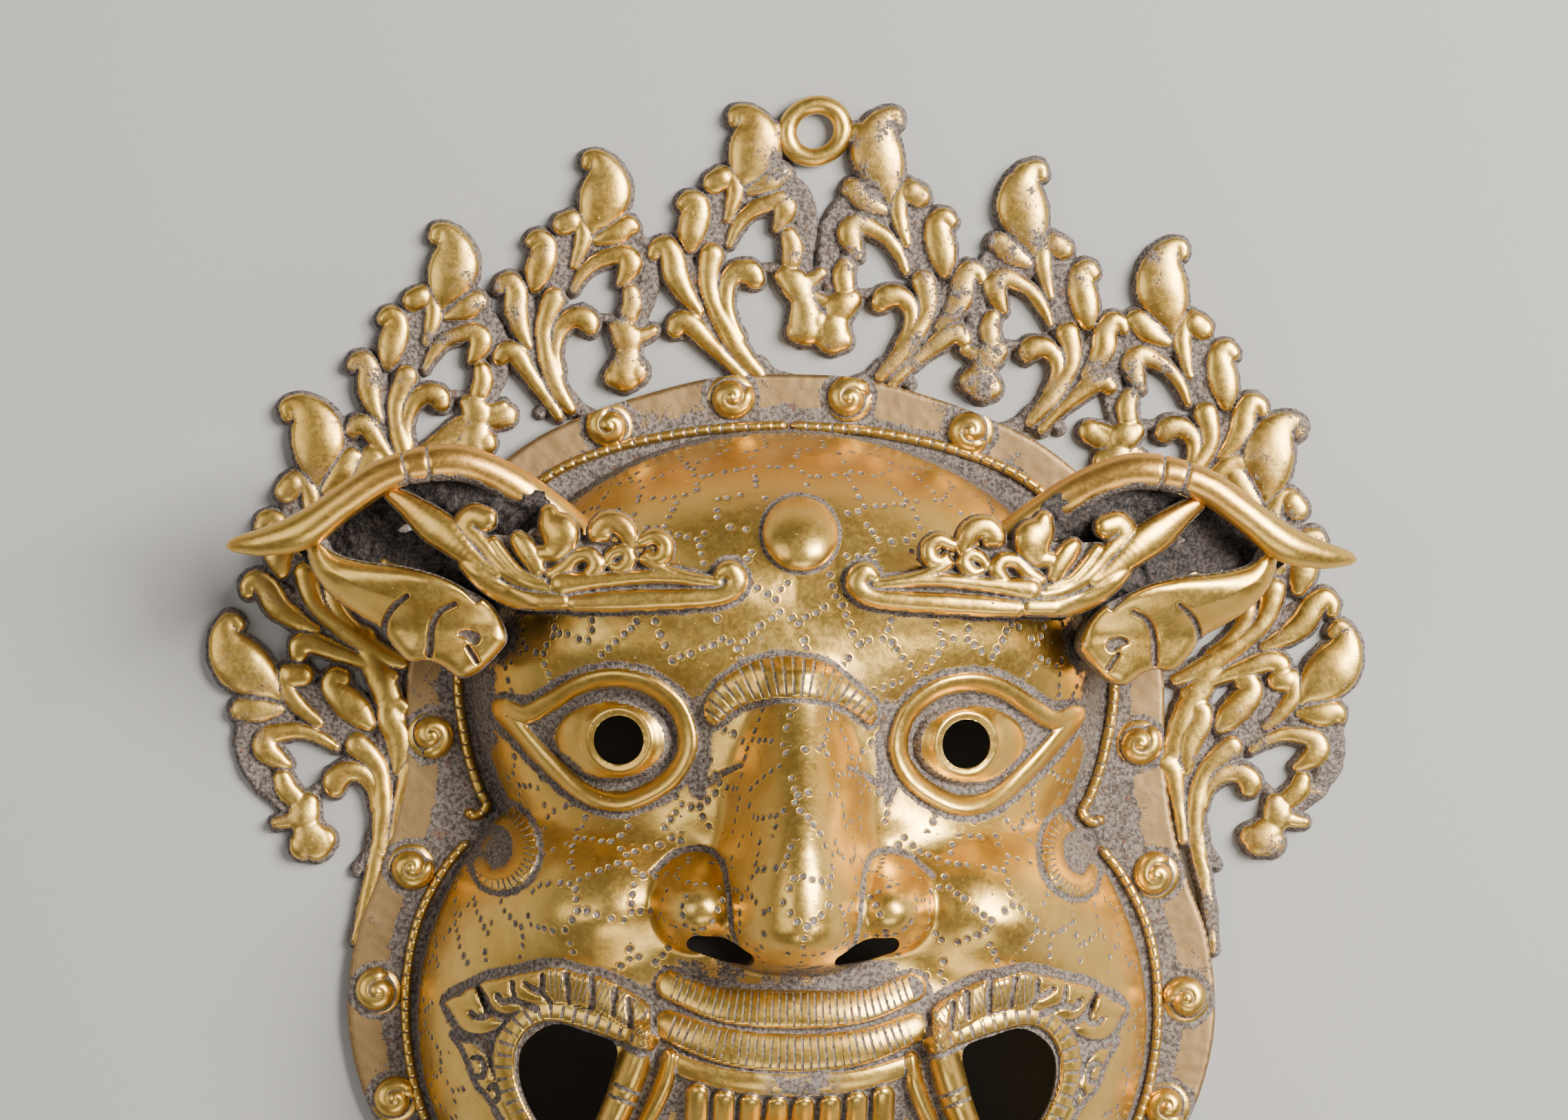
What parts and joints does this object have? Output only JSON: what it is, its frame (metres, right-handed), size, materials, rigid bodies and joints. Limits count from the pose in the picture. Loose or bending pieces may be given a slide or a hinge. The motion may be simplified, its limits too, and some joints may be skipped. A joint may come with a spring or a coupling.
{
  "type": "mask",
  "caption": "Hollow cast brass guardian mask with horns, a banded rim, an openwork crown of leaf plumes and a hanging ring.",
  "frame": {"origin": "middle of the casting's bounding box in X and Y, on the plane of its flat back rim", "axes": "+Z out of the face, +Y up the face to the crown and its ring, +X to the right as one looks at the face"},
  "size_m": [0.2692, 0.2942, 0.0885],
  "materials": {
    "cast_brass": "satin"
  },
  "bodies": {
    "root": {"mask": "cast_brass"}
  },
  "joints": []
}
